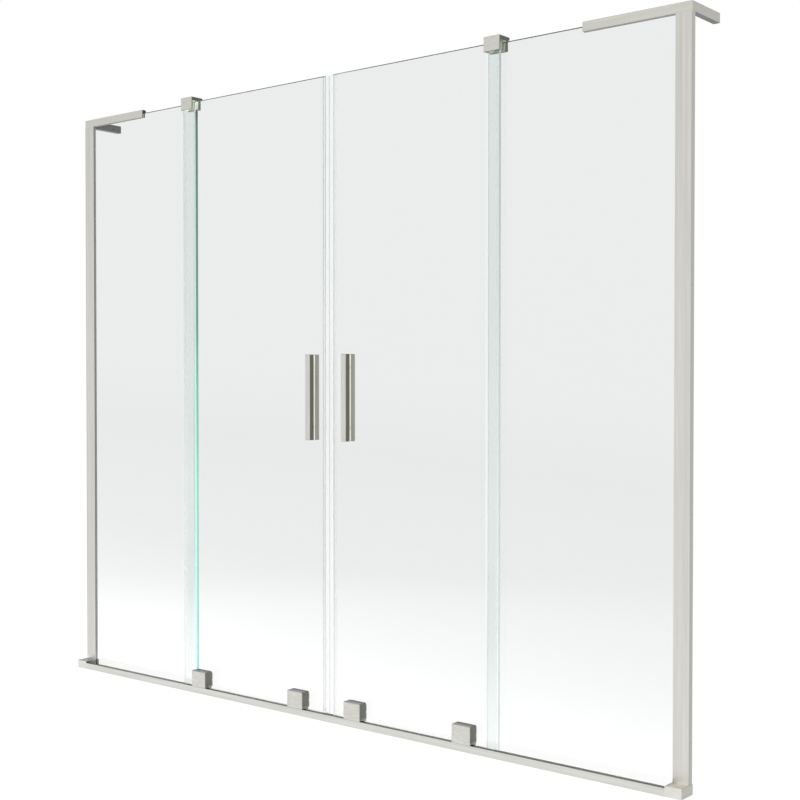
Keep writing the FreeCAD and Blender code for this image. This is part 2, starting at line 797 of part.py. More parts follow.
def bottom_wiper(overlap_x):
    """A U under the door glass, with a fin that clears the rail's base."""
    x0 = door_inner_x
    x1 = door_outer_x(overlap_x)
    front = door_glass_front - wiper_wall
    back = door_glass_back + wiper_wall
    web = door_glass_bottom - wiper_wall
    top = door_glass_bottom + wiper_flange
    fin_y = (door_glass_front + door_glass_back - wiper_fin_wall) / 2
    section = [
        (front, web),
        (fin_y, web),
        (fin_y, rail_base + wiper_floor_gap),
        (fin_y + wiper_fin_wall, rail_base + wiper_floor_gap),
        (fin_y + wiper_fin_wall, web),
        (back, web),
        (back, top),
        (door_glass_back, top),
        (door_glass_back, door_glass_bottom),
        (door_glass_front, door_glass_bottom),
        (door_glass_front, top),
        (front, top),
    ]
    outline = [FreeCAD.Vector(x0, y, z) for y, z in section]
    return extrusion(outline, X_AXIS * (x1 - x0))


def screen_side(overlap_x, shift):
    """The pieces of one half, as lists of solids drawn for the right-hand side."""
    carriages = carriage_places(overlap_x, shift)
    outer, inner = carriages
    return {
        "rail_end_cap": [rail_end_cap()],
        "wall_channel": [wall_channel()],
        "wall_profile": [wall_profile()],
        "corner_bracket": [corner_bracket()],
        "fixed_glass": [fixed_glass(overlap_x)],
        "top_guide_clip": [top_guide_clip(overlap_x)],
        "clip_guide_liner": [clip_guide_liner(overlap_x)],
        "glazing_gaskets": glazing_gaskets(),
        "bottom_gaskets": [bottom_gasket(overlap_x)],
        "bracket_pads": bracket_pads(),
        "clip_clamp_pads": clip_clamp_pads(overlap_x),
        "rail_stops": [rail_stop(overlap_x, shift)],
        "door_glass": [door_glass(overlap_x, shift)],
        "door_outer_carriage": [carriage(outer)],
        "door_inner_carriage": [carriage(inner)],
        "door_outer_roller": [roller(outer)],
        "door_inner_roller": [roller(inner)],
        "door_axles": [axle(x) for x in carriages],
        "door_guide_feet": [guide_foot(x) for x in carriages],
        "door_clamp_pads": [pad for x in carriages for pad in clamp_pads(x)],
        "door_clamp_plates": [clamp_plate(x) for x in carriages],
        "door_clamp_screws": [clamp_screw(x) for x in carriages],
        "door_handle_front_bar": [handle_front_bar()],
        "door_handle_rear_bar": [handle_rear_bar()],
        "door_handle_gaskets": handle_gaskets(),
        "door_handle_studs": handle_studs(),
        "door_magnetic_seal": [magnetic_seal()],
        "door_seal_magnet": [seal_magnet()],
        "door_edge_seal": [edge_seal(overlap_x)],
        "door_bottom_wiper": [bottom_wiper(overlap_x)],
    }


# Small like pieces of both halves share one part file
SHARED = ("glazing_gaskets", "bottom_gaskets", "bracket_pads", "clip_clamp_pads", "rail_stops")


def screen_parts():
    """Every piece of the screen by name."""
    right = screen_side(right_overlap_x, right_carriage_shift)
    left = {name: [solid.mirror(ORIGIN, X_AXIS) for solid in solids]
            for name, solids in screen_side(left_overlap_x, left_carriage_shift).items()}
    parts = {"bottom_rail": [bottom_rail()]}
    for name in right:
        if name in SHARED:
            parts[name] = left[name] + right[name]
        elif name.startswith("door_"):
            parts["left_" + name] = left[name]
            parts["right_" + name] = right[name]
        else:
            parts[name + "_left"] = left[name]
            parts[name + "_right"] = right[name]
    return parts


os.makedirs("parts", exist_ok=True)
for part_name, solids in screen_parts().items():
    piece = solids[0] if len(solids) == 1 else Part.makeCompound(solids)
    piece.exportStep("parts/" + part_name + ".step")
    print(part_name, len(solids), "valid" if piece.isValid() else "NOT VALID", round(piece.Volume, 1))
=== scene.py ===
import math

import bpy
from mathutils import Matrix, Vector


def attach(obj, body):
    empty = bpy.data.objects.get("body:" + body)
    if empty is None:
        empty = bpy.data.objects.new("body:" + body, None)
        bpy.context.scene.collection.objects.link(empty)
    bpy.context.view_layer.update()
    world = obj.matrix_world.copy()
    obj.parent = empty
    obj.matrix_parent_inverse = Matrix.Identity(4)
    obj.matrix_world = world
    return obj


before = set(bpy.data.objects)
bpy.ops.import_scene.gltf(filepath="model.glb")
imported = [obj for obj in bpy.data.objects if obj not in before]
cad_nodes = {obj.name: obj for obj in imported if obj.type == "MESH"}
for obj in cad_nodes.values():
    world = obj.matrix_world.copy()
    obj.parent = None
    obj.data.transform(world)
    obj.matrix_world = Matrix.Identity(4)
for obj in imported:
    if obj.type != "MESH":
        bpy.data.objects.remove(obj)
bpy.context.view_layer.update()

# Camera, fitted to the photograph's edges
image_width_px = 800
sensor_width = 36.0
focal_px = 1330.6354
centre_column_px = 354.31
centre_row_px = 404.74
camera_place = Vector((2.03688, -2.31137, 0.78853))
camera_yaw = 0.7035
camera_pitch = 0.0186
camera_roll = -0.0004

# Tones of the metal faces, linear. They are painted light and shade: fronts light, and sides, tops
# and undersides darker or lighter as light falls on each, some also lighter or darker with height.
# Stops pair a height with a tone, but those of the carriages' upper faces pair a share of the
# depth with it.
profile_front = (0.600, 0.590, 0.555)
# Painted light on the profiles' fronts: lighter lower down, as from the floor, and lightest just
# above the caps, painted over the shade at the foot.
profile_front_low = (0.670, 0.660, 0.620)
profile_front_stops = (
    (0.0225, (0.790, 0.790, 0.775)), (0.0320, profile_front_low), (0.75, profile_front_low),
    (1.5, profile_front),
)
profile_outer_side = (0.430, 0.415, 0.385)
# Painted shade on the profiles' inner sides, with painted light near their foot, over the shade
# there.
profile_inner_side = (0.280, 0.280, 0.255)
profile_inner_stops = ((0.0205, (0.800, 0.800, 0.760)), (0.0500, profile_inner_side))
bracket_front = (0.600, 0.595, 0.545)
bracket_outer_side = (0.480, 0.460, 0.425)
# Painted shade: the brackets' inner sides near black.
bracket_inner_side = (0.052, 0.053, 0.043)
rail_front = (0.680, 0.685, 0.640)
# Painted shade: the rail's top dark.
rail_top = (0.135, 0.140, 0.130)
# Painted shade and light on the caps: inner sides dark; the right cap's top beige, darker beside
# the rail up to cap_shade_end; the left cap's top grey and darker, lighter beside the rail.
cap_front = (0.750, 0.745, 0.690)
cap_side = (0.480, 0.465, 0.420)
cap_inner_side = (0.290, 0.292, 0.265)
cap_top = (0.700, 0.665, 0.570)
cap_top_by_rail = (0.290, 0.285, 0.255)
cap_top_left = (0.300, 0.298, 0.285)
cap_top_left_by_rail = (0.480, 0.475, 0.450)
cap_inner_x = 0.8650
cap_shade_end = 0.8780
clip_front = (0.600, 0.595, 0.550)
# Painted shade: the clips' sides near black.
clip_side = (0.115, 0.122, 0.104)
carriage_front = (0.665, 0.655, 0.610)
# Painted shade on the housings' sides, with painted reflection at their foot: lighter beige where
# the rail's top would show in them.
carriage_side = (0.178, 0.195, 0.163)
carriage_side_stops = ((0.0170, (0.480, 0.450, 0.370)), (0.0205, carriage_side))
# Painted reflection and shade on the housings' upper faces: light along the front, near black next
# to the pane.
carriage_top = (0.140, 0.140, 0.135)
carriage_front_y = -0.0235
carriage_back_y = -0.0003
carriage_top_stops = (
    (0.0, (0.330, 0.330, 0.320)), (0.30, (0.230, 0.230, 0.224)), (0.60, (0.080, 0.080, 0.077)),
    (1.0, (0.028, 0.028, 0.026)),
)
# Painted light: the base plates' sides lighter beige, over the shade under the housings.
carriage_foot_side = (0.360, 0.345, 0.290)
handle_front = (0.660, 0.650, 0.610)
# Painted shade on the handles' sides; the rear bars, seen through the glass, lighter all over as
# painted light.
handle_side = (0.182, 0.182, 0.152)
rear_bar_side = (0.410, 0.410, 0.350)
# Painted shade: all undersides dark.
nickel_under = (0.120, 0.120, 0.108)

# Painted shade by facing: the tone of the faces that look each way, where one gives way to the
# next, and a painted shade that darkens upward eased edges so they catch no highlight, by the
# normal's share along an axis
tone_faces = ("Front", "Outer side", "Inner side", "Top", "Under")
tone_turn_start = 0.60
tone_turn_end = 0.85
eased_edge_slope = math.sqrt(0.5)
eased_edge_near = 0.05
eased_edge_far = 0.20
eased_edge_share = 0.5

# Grain: how often it repeats along X, Y and Z, how much it shows, and how it changes the roughness
upright_grain = (170.0, 170.0, 3.0)
rail_grain = (4.0, 200.0, 220.0)
bracket_grain = (5.0, 5.0, 240.0)
clip_grain = (40.0, 40.0, 260.0)
housing_grain = (60.0, 120.0, 260.0)
handle_grain = (220.0, 220.0, 12.0)
plastic_grain = (900.0, 900.0, 3.0)
ground_grain = (600.0, 600.0, 40.0)
moulded_grain = (500.0, 500.0, 500.0)
grain_detail = 3.0
grain_fineness = 0.65
nickel_contrast = 0.45
housing_contrast = 0.55
plastic_contrast = 0.10
ground_contrast = 0.12
moulded_contrast = 0.08
nickel_roughness = 0.36
plastic_roughness = 0.25
ground_roughness = 0.35
moulded_roughness = 0.6
coarse_spread = 0.10
fine_spread = 0.08
bump_strength = 0.15
bump_distance = 0.0001

# Glass tone, by height above the rail's underside: its slight green is the glass's own; the grey
# that deepens upward is a painted reflection, clear near the rail where the white floor would show
# in it
glass_clear = (1.0, 1.0, 1.0)
glass_stops = (
    (0.10, glass_clear), (0.15, (0.972, 0.980, 0.976)), (0.19, (0.944, 0.958, 0.951)),
    (0.225, (0.921, 0.937, 0.929)), (0.275, (0.887, 0.904, 0.896)), (0.325, (0.862, 0.879, 0.871)),
    (0.375, (0.842, 0.859, 0.851)), (0.43, (0.826, 0.843, 0.835)), (0.55, (0.814, 0.831, 0.823)),
    (0.68, (0.800, 0.817, 0.809)), (0.85, (0.822, 0.840, 0.832)), (1.40, (0.824, 0.842, 0.834)),
)
glass_ior = 1.5
glass_lift = 0.050
glass_lean = 0.065
screen_top = 1.5
# Painted reflection on the doors' panes where they overlap the fixed ones: a lighter tone of its
# own
overlap_start_left = -0.4620
overlap_start_right = 0.4370
overlap_share = 0.75
overlap_stops = (
    (0.10, (0.867, 0.910, 0.896)), (0.19, (0.845, 0.887, 0.873)), (0.24, (0.830, 0.872, 0.857)),
    (0.29, (0.855, 0.898, 0.883)), (0.342, (0.872, 0.916, 0.901)), (0.393, (0.918, 0.964, 0.948)),
    (0.45, (0.925, 0.971, 0.956)), (0.55, (0.945, 0.992, 0.976)), (0.69, (0.909, 0.954, 0.939)),
    (0.95, (0.857, 0.900, 0.885)), (1.50, (0.857, 0.900, 0.885)),
)

# Clear plastics and ground edges, linear
clear_specular = 0.2
ground_specular = 0.3
seal_front = (0.94, 0.97, 0.96)
seal_cover = 0.05
liner_cover = 0.8
lip_cover = 0.45
# Painted light: the edge seals glow, strongly near the rail and hardly at the top.
edge_seal_glow_stops = (
    (0.20, (0.90, 1.0, 0.97)), (0.80, (0.30, 0.36, 0.34)), (1.20, (0.05, 0.06, 0.06)),
)
lip_stops = ((0.30, (0.90, 0.92, 0.91)), (0.90, (0.70, 0.73, 0.72)), (1.49, (0.42, 0.45, 0.44)))
# The magnets' pale colour is their own; the whiter tone near the rail and their glow are painted
# light.
magnet_stops = ((0.0, (1.00, 1.00, 1.00)), (0.60, (0.86, 0.875, 0.87)), (1.5, (0.79, 0.83, 0.82)))
# The bead's green is the glass edge's own colour; its fade from light near the rail to near black
# at the top, the pale band at the very top and its glow are painted light and shade.
green_stops = (
    (0.10, (0.41, 0.86, 0.78)), (0.38, (0.42, 0.96, 0.81)), (0.53, (0.335, 0.96, 0.765)),
    (0.69, (0.263, 0.775, 0.620)), (0.84, (0.143, 0.566, 0.432)), (0.92, (0.082, 0.400, 0.300)),
    (1.14, (0.052, 0.292, 0.218)), (1.37, (0.012, 0.190, 0.130)), (1.450, (0.004, 0.130, 0.075)),
    (1.458, (0.001, 0.030, 0.015)), (1.471, (0.001, 0.012, 0.006)), (1.475, (0.92, 1.0, 0.88)),
    (1.5, (0.92, 1.0, 0.88)),
)
# Painted light on the panes' ground edges: paler near the rail; the left door's meeting edge
# darker than the right one's as painted shade.
cyan_stops = (
    (0.0, (0.60, 0.97, 0.93)), (0.50, (0.66, 0.93, 0.89)), (1.0, (0.80, 0.90, 0.87)),
    (1.5, (0.80, 0.88, 0.86)),
)
far_edge_stops = ((0.0, (0.93, 0.97, 0.96)), (0.60, (0.84, 0.91, 0.88)), (1.5, (0.82, 0.89, 0.86)))
soft_edge_stops = (
    (0.0, (0.93, 0.97, 0.96)), (0.60, (0.80, 0.87, 0.84)), (1.5, (0.60, 0.65, 0.63)),
)
meeting_left_stops = (
    (0.0, (0.66, 0.67, 0.66)), (0.60, (0.58, 0.60, 0.59)), (1.5, (0.46, 0.48, 0.47)),
)
meeting_right_stops = (
    (0.0, (0.80, 0.81, 0.81)), (0.60, (0.68, 0.70, 0.69)), (1.5, (0.75, 0.76, 0.75)),
)
# Painted shade: a dark line along the top of every pane, softer on the doors.
line_dark_stops = ((0.0, (0.05, 0.06, 0.055)), (1.5, (0.05, 0.06, 0.055)))
line_soft_stops = ((0.0, (0.20, 0.22, 0.21)), (1.5, (0.20, 0.22, 0.21)))

# Floor, surroundings and lamp
white = (1.0, 1.0, 1.0, 1.0)
world_light = 0.85
floor_shade = 0.12
floor_glow = 0.94
floor_size = 60.0
floor_near = 1.3
floor_far = 2.6
lamp_place = (-1.2, -3.2, 6.5)
lamp_aim = (0.0, 0.0, 0.7)
lamp_size = 3.0
lamp_power = 110.0

# Ground edges of the panes, and the clear trim and green bead of the left fixed one
arris_depth = 0.00075
arris_skin = 0.00008
side_arris_depth = 0.0004
clear_trim = 0.0032
green_trim = 0.0029
bead_inset = 0.0002
bead_ease = 0.0003
edge_inset = 0.0001
# Painted light: the glow of each kind of ground edge.
edge_glow = 0.35
pale_edge_glow = 0.70
far_edge_glow = 0.48
soft_edge_glow = 0.30

# Packing strips in the clips, plates and skirts of the carriages, and the meeting seal's lip
packing_end = 0.0004
packing_front = 0.0013
packing_back = 0.0043
packing_gap = 0.0001
packing_height = 0.0048
packing_leg = 0.0049
packing_ease = 0.0003
base_plate_front = -0.0118
base_plate_drop = 0.0028
base_plate_back = 0.0005
base_plate_end = 0.0005
base_plate_foot = 0.0094
base_plate_ease = 0.0004
carriage_corner = 0.0010
strip_setback = 0.00005
strip_drop = 0.0005
base_strip_back = -0.0130
strip_ease = 0.00005
skirt_reach = 0.0200
skirt_front = 0.0073
skirt_back = 0.0101
skirt_low = 0.0168
skirt_high = 0.0319
lip_width = 0.0012
lip_depth = 0.0006
lip_proud = 0.0003
lip_ease = 0.0002

# Fillers beside the handles' studs
gasket_sheet = 0.0004
filler_gap = 0.0001
filler_reach = 0.0002
filler_ease = 0.0001

# Small screws on the faces that look towards the bath, each kind with its radius and height
bracket_screw = (0.0020, 0.0012)
clip_screw = (0.0025, 0.0012)
cover_screw = (0.0028, 0.0013)
screw_sink = 0.0001
head_ease_share = 0.22
head_socket_share = 0.5
head_floor_share = 0.45
bracket_arm_back = 0.0220
bracket_screw_drop = 0.0130
bracket_screw_places = (0.0664, 0.1778)
clip_wall_back = 0.0300
clip_screw_rise = 0.0060
clip_screw_offset = 0.0100
cover_screw_back = 0.0100
cover_screw_margin = 0.1500

# Steps of the round forms, the share of a normal above which a face looks in a direction, and the
# angle below which an edge is shaded smooth
ease_steps = 2
head_ease_steps = 3
head_sides = 36
key_sides = 6
facing_share = 0.9
smooth_degrees = 35.0


def plain_material(name, constants):
    """A new material with its node tree, and its Principled shader with these constants."""
    material = bpy.data.materials.new(name)
    material.use_nodes = True
    shader = material.node_tree.nodes["Principled BSDF"]
    for socket, value in constants.items():
        shader.inputs[socket].default_value = value
    return material, material.node_tree, shader


def add_node(tree, kind, **values):
    """A new node with its settings."""
    node = tree.nodes.new(kind)
    for key, value in values.items():
        setattr(node, key, value)
    return node


def feed(tree, value, socket):
    """Link an output to a node's input, or set a constant on it."""
    if isinstance(value, bpy.types.NodeSocket):
        tree.links.new(value, socket)
    else:
        socket.default_value = value


def calculated(tree, operation, *terms):
    """The result of a sum on outputs and numbers."""
    node = add_node(tree, "ShaderNodeMath", operation=operation)
    for term, socket in zip(terms, node.inputs):
        feed(tree, term, socket)
    return node.outputs[0]


def ranged(tree, value, start, end, low=0.0, high=1.0, interpolation="LINEAR"):
    """A value from start to end, carried over to low to high."""
    node = add_node(tree, "ShaderNodeMapRange", interpolation_type=interpolation)
    limits = (("From Min", start), ("From Max", end), ("To Min", low), ("To Max", high))
    for socket, limit in limits:
        node.inputs[socket].default_value = limit
    tree.links.new(value, node.inputs["Value"])
    return node.outputs["Result"]


def mixed(tree, share, first, second, blend="MIX"):
    """Two colours mixed by a share."""
    node = add_node(tree, "ShaderNodeMix", data_type="RGBA", blend_type=blend)
    for socket, value in (("Factor", share), ("A", first), ("B", second)):
        feed(tree, value, node.inputs[socket])
    return node.outputs["Result"]


def mix_shaders(tree, share, first, second, output):
    """Two shaders mixed by a share, on the surface of an output."""
    mix = tree.nodes.new("ShaderNodeMixShader")
    for socket, value in enumerate((share, first.outputs[0], second.outputs[0])):
        tree.links.new(value, mix.inputs[socket])
    tree.links.new(mix.outputs[0], output.inputs["Surface"])


def object_axes(tree):
    """The X, Y and Z of the object's own coordinates."""
    place = tree.nodes.new("ShaderNodeTexCoord")
    split = tree.nodes.new("ShaderNodeSeparateXYZ")
    tree.links.new(place.outputs["Object"], split.inputs[0])
    return split.outputs


def new_group(name, takes, gives):
    """A node group with its named inputs and outputs."""
    group = bpy.data.node_groups.new(name, "ShaderNodeTree")
    for in_out, sockets in (("INPUT", takes), ("OUTPUT", gives)):
        for socket, kind in sockets:
            group.interface.new_socket(socket, in_out=in_out, socket_type=kind)
    return group, group.nodes.new("NodeGroupInput"), group.nodes.new("NodeGroupOutput")


def brushed_grain_group():
    """Hairlines along the metal: a shade near 1, and a height for the bump."""
    group, given, made = new_group(
        "brushed_grain", (("Stretch", "NodeSocketVector"), ("Contrast", "NodeSocketFloat")),
        (("Shade", "NodeSocketFloat"), ("Height", "NodeSocketFloat")))
    place = group.nodes.new("ShaderNodeTexCoord")
    stretch = add_node(group, "ShaderNodeVectorMath", operation="MULTIPLY")
    group.links.new(place.outputs["Object"], stretch.inputs[0])
    group.links.new(given.outputs["Stretch"], stretch.inputs[1])
    hairs = group.nodes.new("ShaderNodeTexNoise")
    for socket, value in (("Scale", 1.0), ("Detail", grain_detail), ("Roughness", grain_fineness)):
        hairs.inputs[socket].default_value = value
    group.links.new(stretch.outputs[0], hairs.inputs["Vector"])
    centred = calculated(group, "SUBTRACT", hairs.outputs["Fac"], 0.5)
    shade = calculated(group, "MULTIPLY_ADD", centred, given.outputs["Contrast"], 1.0)
    group.links.new(shade, made.inputs["Shade"])
    group.links.new(hairs.outputs["Fac"], made.inputs["Height"])
    return group


def facing_shade_group():
    """Painted light and shade by facing: tones for the front, side, upper and lower faces, and
    darker upward eased edges.
    """
    group, given, made = new_group(
        "facing_shade", [(face, "NodeSocketColor") for face in tone_faces],
        (("Color", "NodeSocketColor"),))
    surface = group.nodes.new("ShaderNodeNewGeometry")
    split = group.nodes.new("ShaderNodeSeparateXYZ")
    group.links.new(surface.outputs["Normal"], split.inputs[0])
    normal = split.outputs
    outward = calculated(group, "MULTIPLY", object_axes(group)["X"], normal["X"])
    side = mixed(group, calculated(group, "GREATER_THAN", outward, 0.0),
                 given.outputs["Inner side"], given.outputs["Outer side"])
    downward = calculated(group, "MULTIPLY", normal["Z"], -1.0)
    tone = given.outputs["Front"]
    for colour, turn in ((side, calculated(group, "ABSOLUTE", normal["X"])),
                         (given.outputs["Top"], normal["Z"]), (given.outputs["Under"], downward)):
        share = ranged(group, turn, tone_turn_start, tone_turn_end, interpolation="SMOOTHSTEP")
        tone = mixed(group, share, tone, colour)
    slope = calculated(group, "SUBTRACT", normal["Z"], eased_edge_slope)
    ease = ranged(group, calculated(group, "ABSOLUTE", slope), eased_edge_near, eased_edge_far,
                  low=eased_edge_share)
    group.links.new(mixed(group, 1.0, tone, ease, "MULTIPLY"), made.inputs["Color"])
    return group


def colour_ramp(tree, value, stops):
    """Colours along a value from 0 to 1."""
    ramp = tree.nodes.new("ShaderNodeValToRGB")
    marks = ramp.color_ramp.elements
    for mark, (place, colour) in zip(marks, (stops[0], stops[-1])):
        mark.position, mark.color = place, (*colour, 1.0)
    for place, colour in stops[1:-1]:
        marks.new(place).color = (*colour, 1.0)
    tree.links.new(value, ramp.inputs["Fac"])
    return ramp.outputs["Color"]


def height_ramp(tree, stops, lift=0.0, lean=0.0):
    """A colour by height above the rail's underside, taken higher up towards +X where it leans."""
    axes = object_axes(tree)
    height = axes["Z"]
    if lean:
        raised = calculated(tree, "MULTIPLY_ADD", axes["X"], lean, lift)
        height = calculated(tree, "ADD", height, raised)
    return colour_ramp(tree, ranged(tree, height, 0.0, screen_top),
                       [(level / screen_top, colour) for level, colour in stops])


def cap_top_shade(tree):
    """Painted shade on the end caps' upper faces: darker on the left one, and shaded another way
    by the rail.
    """
    x = object_axes(tree)["X"]
    outward = ranged(tree, calculated(tree, "ABSOLUTE", x), cap_inner_x, cap_shade_end)
    left = mixed(tree, outward, (*cap_top_left_by_rail, 1.0), (*cap_top_left, 1.0))
    right = mixed(tree, outward, (*cap_top_by_rail, 1.0), (*cap_top, 1.0))
    return mixed(tree, calculated(tree, "GREATER_THAN", x, 0.0), left, right)


def carriage_top_shade(tree):
    """Painted reflection and shade on the housings' upper faces, light along the front and dark
    next to the pane.
    """
    depth = ranged(tree, object_axes(tree)["Y"], carriage_front_y, carriage_back_y)
    return colour_ramp(tree, depth, carriage_top_stops)


def toned_faces(tree, *tones):
    """The painted facing shade group, with the tones of front, outer side, inner side, top and
    underside.
    """
    faces = add_node(tree, "ShaderNodeGroup", node_tree=facing_shade)
    for socket, tone in zip(tone_faces, tones):
        faces.inputs[socket].default_value = (*tone, 1.0)
    return faces


def add_grain(tree, shader, tone, stretch, contrast, roughness, spread):
    """Grain on a shader's colour and roughness. Gives its height, and the tone that it shades."""
    grain = add_node(tree, "ShaderNodeGroup", node_tree=brushed_grain)
    grain.inputs["Stretch"].default_value = stretch
    grain.inputs["Contrast"].default_value = contrast
    height = grain.outputs["Height"]
    shaded = mixed(tree, 1.0, tone, grain.outputs["Shade"], "MULTIPLY")
    tree.links.new(shaded, shader.inputs["Base Color"])
    tree.links.new(ranged(tree, height, 0.0, 1.0, roughness - spread, roughness + spread),
                   shader.inputs["Roughness"])
    return height, shaded


def brushed_nickel(name, stretch, front, outer_side, inner_side, top, top_shade=None, face_stops=(),
                   contrast=nickel_contrast):
    """Satin nickel with its hairlines drawn along one direction, and painted light and shade by
    facing and by height.
    """
    material, tree, metal = plain_material(name, {"Metallic": 1.0})
    faces = toned_faces(tree, front, outer_side, inner_side, top, nickel_under)
    for socket, stops in face_stops:
        tree.links.new(height_ramp(tree, stops), faces.inputs[socket])
    if top_shade:
        tree.links.new(top_shade(tree), faces.inputs["Top"])
    height, _ = add_grain(tree, metal, faces.outputs["Color"], stretch, contrast, nickel_roughness,
                          coarse_spread)
    bump = add_node(tree, "ShaderNodeBump")
    bump.inputs["Strength"].default_value = bump_strength
    bump.inputs["Distance"].default_value = bump_distance
    tree.links.new(height, bump.inputs["Height"])
    tree.links.new(bump.outputs["Normal"], metal.inputs["Normal"])
    return material


def let_lamps_through(tree, shader):
    """Lamps shine through, so that clear pieces throw no hard shadow."""
    path = tree.nodes.new("ShaderNodeLightPath")
    clear = tree.nodes.new("ShaderNodeBsdfTransparent")
    mix_shaders(tree, path.outputs["Is Shadow Ray"], shader, clear, tree.nodes["Material Output"])


def pane_glass(name, lighter_overlap=False):
    """Clear toughened glass, with a painted reflection: a little grey green above and clear near
    the rail.
    """
    material, tree, glass = plain_material(name, {
        "Roughness": 0.0, "IOR": glass_ior, "Transmission Weight": 1.0})
    tint = height_ramp(tree, glass_stops, glass_lift, glass_lean)
    if lighter_overlap:
        tint = clearer_overlap(tree, tint)
    tree.links.new(tint, glass.inputs["Base Color"])
    let_lamps_through(tree, glass)
    return material


def clearer_overlap(tree, tint):
    """A door's pane, with a lighter painted reflection where it overlaps the fixed one, so the two
    don't darken twice.
    """
    x = object_axes(tree)["X"]
    either = calculated(tree, "ADD", calculated(tree, "LESS_THAN", x, overlap_start_left),
                        calculated(tree, "GREATER_THAN", x, overlap_start_right))
    return mixed(tree, calculated(tree, "MULTIPLY", either, overlap_share), tint,
                 height_ramp(tree, overlap_stops))


def clear_plastic(name, front, side, cover, glow=0.0, glow_stops=None):
    """Thin clear plastic: a light veil on its faces, a painted shade of its own on faces that look
    sideways, up and down, where its walls are cut, and painted light from a glow where one is
    given.
    """
    material, tree, seal = plain_material(name, {
        "Alpha": cover, "Specular IOR Level": clear_specular,
        "Emission Color": (*side, 1.0), "Emission Strength": glow})
    if glow_stops:
        tree.links.new(height_ramp(tree, glow_stops), seal.inputs["Emission Color"])
    faces = toned_faces(tree, front, side, side, side, side)
    add_grain(tree, seal, faces.outputs["Color"], plastic_grain, plastic_contrast,
              plastic_roughness, fine_spread)
    return material


def ground_edge(name, stops, glow=0.0, cover=1.0):
    """Ground glass: a tone by height from the rail up, with painted light from a glow where one is
    given.
    """
    material, tree, edge = plain_material(name, {
        "Alpha": cover, "Specular IOR Level": ground_specular, "Emission Strength": glow})
    _, shaded = add_grain(tree, edge, height_ramp(tree, stops), ground_grain, ground_contrast,
                          ground_roughness, coarse_spread)
    tree.links.new(shaded, edge.inputs["Emission Color"])
    return material


def moulded(name, colour, roughness=moulded_roughness, metallic=0.0, glow=0.0):
    """A moulded or turned finish with a fine even variation, and painted light from a glow where
    one is given.
    """
    tone = (*colour, 1.0)
    material, tree, body = plain_material(name, {
        "Metallic": metallic, "Emission Color": tone, "Emission Strength": glow})
    add_grain(tree, body, tone, moulded_grain, moulded_contrast, roughness, fine_spread)
    return material


def finish_of(node):
    """The material for a node, by its name."""
    for words, material in finishes:
        if any(word in node for word in words):
            return material
    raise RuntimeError("no finish for " + node)


def dress_nodes():
    """Put its finish on every slot of every node."""
    for name, piece in cad_nodes.items():
        material = finish_of(name)
        for slot in piece.material_slots:
            slot.material = material


def pick(*pieces):
    """Select these pieces and no others, with the first one active."""
    bpy.ops.object.select_all(action="DESELECT")
    for piece in pieces:
        piece.select_set(True)
    bpy.context.view_layer.objects.active = pieces[0]


def edit_faces(piece, wanted):
    """Open a piece's mesh with the wanted faces selected."""
    pick(piece)
    bpy.ops.object.mode_set(mode="EDIT")
    bpy.ops.mesh.select_mode(type="FACE")
    bpy.ops.mesh.select_all(action="DESELECT")
    bpy.ops.object.mode_set(mode="OBJECT")
    for face in piece.data.polygons:
        face.select = wanted(face)
    bpy.ops.object.mode_set(mode="EDIT")


def block(name, low, high):
    """A block between two corners, with its place and size in its mesh."""
    bpy.ops.object.select_all(action="DESELECT")
    middle = [(a + b) / 2 for a, b in zip(low, high)]
    bpy.ops.mesh.primitive_cube_add(size=1.0, location=middle)
    piece = bpy.context.object
    piece.name = name
    piece.scale = [b - a for a, b in zip(low, high)]
    bpy.ops.object.transform_apply(location=True, rotation=True, scale=True)
    return piece


def eased_block(name, low, high, ease):
    """A block with its edges eased."""
    piece = block(name, low, high)
    edit_faces(piece, lambda face: True)
    bpy.ops.mesh.bevel(offset=ease, segments=ease_steps, affect="EDGES")
    bpy.ops.object.mode_set(mode="OBJECT")
    return piece


def edge_cap(name, low, high, open_towards, depth, material):
    """A thin cap over a pane's edge: the face on its open side is inset and pushed in."""
    piece = block(name, low, high)
    edit_faces(piece, lambda face: face.normal.dot(open_towards) > facing_share)
    bpy.ops.mesh.inset(thickness=arris_skin / 2, depth=0.0, use_even_offset=True)
    bpy.ops.mesh.extrude_region_move(
        TRANSFORM_OT_translate={"value": tuple(-(depth - arris_skin) * open_towards)})
    bpy.ops.object.mode_set(mode="OBJECT")
    piece.data.materials.append(material)
    return piece


def joined(name, pieces):
    """The pieces as one, under a new name."""
    pick(*pieces)
    bpy.ops.object.join()
    pieces[0].name = name
    return pieces[0]


def node_box(node):
    """The lowest and highest corner of a node."""
    corners = [Vector(vertex.co) for vertex in cad_nodes[node].data.vertices]
    return ([min(c[axis] for c in corners) for axis in range(3)],
            [max(c[axis] for c in corners) for axis in range(3)])


